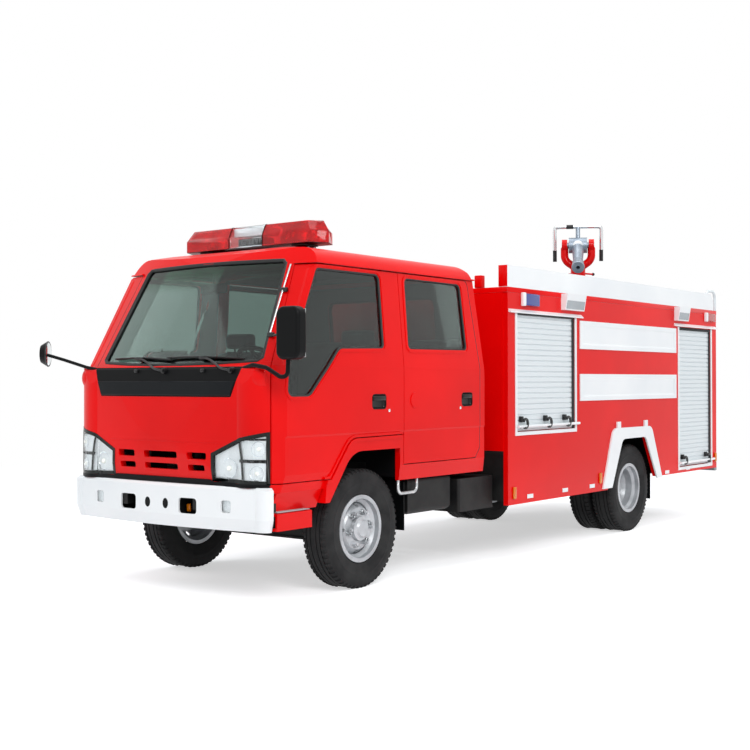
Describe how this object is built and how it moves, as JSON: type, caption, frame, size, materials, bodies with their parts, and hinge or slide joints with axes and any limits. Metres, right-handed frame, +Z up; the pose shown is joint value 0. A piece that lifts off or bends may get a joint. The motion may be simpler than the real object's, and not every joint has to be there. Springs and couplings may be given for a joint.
{
  "type": "mini pumper fire truck",
  "caption": "Crew-cab light fire engine: four-door cab, locker body with roller shutters, dual rear wheels, light bar and a water monitor on the roof deck.",
  "frame": {"origin": "on the ground, on the middle plane, halfway along the whole length", "axes": "+X to the truck's left, +Y to its rear, +Z up"},
  "size_m": [2.349, 6.8679, 2.905],
  "materials": {
    "tyre_rubber": "matte",
    "wheel_silver": "satin",
    "chassis_black": "satin",
    "engine_iron": "matte",
    "galvanised_steel": "satin",
    "fire_red": "gloss",
    "cab_black": "satin",
    "safety_glass": "gloss",
    "white_paint": "gloss",
    "lamp_clear": "gloss",
    "lamp_red": "gloss",
    "seat_cloth": "matte",
    "deck_aluminium": "satin",
    "shutter_aluminium": "satin",
    "tank_plastic": "matte",
    "monitor_steel": "satin"
  },
  "bodies": {
    "truck": {"body_deck": "deck_aluminium", "body_end_walls": "fire_red", "body_floor": "deck_aluminium", "body_lamps": "lamp_clear", "body_sides": "fire_red", "body_trims": "white_paint", "cab_back_wall": "fire_red", "cab_floor": "fire_red", "cab_front_panel": "fire_red", "cab_glass": "safety_glass", "cab_pillars": "fire_red", "cab_roof": "fire_red", "cab_steps": "fire_red", "chassis_frame": "chassis_black", "cowl_panel": "cab_black", "dashboard": "cab_black", "engine_block": "engine_iron", "exhaust": "galvanised_steel", "front_axle_beam": "chassis_black", "front_bumper": "white_paint", "front_centre_panel": "fire_red", "front_grille": "fire_red", "front_lamps": "lamp_clear", "gearbox_and_shaft": "chassis_black", "leaf_springs": "chassis_black", "light_bar": "lamp_red", "mirrors": "cab_black", "monitor_riser": "fire_red", "mudflaps": "cab_black", "rear_axle": "chassis_black", "rear_bumper": "deck_aluminium", "rear_ladder": "shutter_aluminium", "roller_shutters": "shutter_aluminium", "roof_boards": "white_paint", "seats": "seat_cloth", "steering_wheel": "cab_black", "tail_lamps": "lamp_red", "tanks_and_lockers": "chassis_black", "water_tank": "tank_plastic"},
    "knuckle_left": {"steering_knuckle_left": "chassis_black"},
    "knuckle_right": {"steering_knuckle_right": "chassis_black"},
    "track_rod": {"track_rod": "chassis_black"},
    "wheel_front_left": {"front_tyre_left": "tyre_rubber", "front_wheel_left": "wheel_silver"},
    "wheel_front_right": {"front_tyre_right": "tyre_rubber", "front_wheel_right": "wheel_silver"},
    "wheels_rear_left": {"rear_tyres_left": "tyre_rubber", "rear_wheels_left": "wheel_silver"},
    "wheels_rear_right": {"rear_tyres_right": "tyre_rubber", "rear_wheels_right": "wheel_silver"},
    "door_front_left": {"front_door_left": "fire_red", "front_door_glass_left": "safety_glass"},
    "door_front_right": {"front_door_right": "fire_red", "front_door_glass_right": "safety_glass"},
    "door_rear_left": {"rear_door_left": "fire_red", "rear_door_glass_left": "safety_glass"},
    "door_rear_right": {"rear_door_right": "fire_red", "rear_door_glass_right": "safety_glass"},
    "monitor_turret": {"monitor_swivel": "fire_red"},
    "monitor_gun": {"monitor_barrel": "monitor_steel"}
  },
  "joints": [
    {"name": "steer_left", "type": "hinge", "parent": "truck", "child": "knuckle_left", "pos_m": [0.64, -2.3575, 0.387], "axis": [0, 0, 1], "range_deg": [-35, 35]},
    {"name": "steer_right", "type": "hinge", "parent": "truck", "child": "knuckle_right", "pos_m": [-0.64, -2.3575, 0.387], "axis": [0, 0, 1], "range_deg": [-35, 35]},
    {"name": "track_rod_pivot", "type": "hinge", "parent": "knuckle_left", "child": "track_rod", "pos_m": [0.64, -2.1975, 0.328], "axis": [0, 0, 1], "range_deg": [-35, 35]},
    {"name": "front_left_spin", "type": "hinge", "parent": "knuckle_left", "child": "wheel_front_left", "pos_m": [0.752, -2.3575, 0.387], "axis": [1, 0, 0], "continuous": true},
    {"name": "front_right_spin", "type": "hinge", "parent": "knuckle_right", "child": "wheel_front_right", "pos_m": [-0.752, -2.3575, 0.387], "axis": [1, 0, 0], "continuous": true},
    {"name": "rear_left_spin", "type": "hinge", "parent": "truck", "child": "wheels_rear_left", "pos_m": [0.7125, 1.4575, 0.387], "axis": [1, 0, 0], "continuous": true},
    {"name": "rear_right_spin", "type": "hinge", "parent": "truck", "child": "wheels_rear_right", "pos_m": [-0.7125, 1.4575, 0.387], "axis": [1, 0, 0], "continuous": true},
    {"name": "door_front_left_hinge", "type": "hinge", "parent": "truck", "child": "door_front_left", "pos_m": [0.855, -3.2425, 1.1], "axis": [0, 0, -1], "range_deg": [0, 65]},
    {"name": "door_front_right_hinge", "type": "hinge", "parent": "truck", "child": "door_front_right", "pos_m": [-0.855, -3.2425, 1.1], "axis": [0, 0, 1], "range_deg": [0, 65]},
    {"name": "door_rear_left_hinge", "type": "hinge", "parent": "truck", "child": "door_rear_left", "pos_m": [0.905, -1.9655, 1.1], "axis": [0, 0, -1], "range_deg": [0, 70]},
    {"name": "door_rear_right_hinge", "type": "hinge", "parent": "truck", "child": "door_rear_right", "pos_m": [-0.905, -1.9655, 1.1], "axis": [0, 0, 1], "range_deg": [0, 70]},
    {"name": "monitor_swing", "type": "hinge", "parent": "truck", "child": "monitor_turret", "pos_m": [0, 2.2225, 2.363], "axis": [0, 0, 1], "range_deg": [-180, 180]},
    {"name": "monitor_elevation", "type": "hinge", "parent": "monitor_turret", "child": "monitor_gun", "pos_m": [0, 2.2225, 2.7], "axis": [-0.8829, -0.4695, 0], "range_deg": [0, 100]}
  ],
  "couplings": [
    {"joint": "steer_right", "follows": "steer_left", "ratio": 1},
    {"joint": "track_rod_pivot", "follows": "steer_left", "ratio": -1}
  ]
}
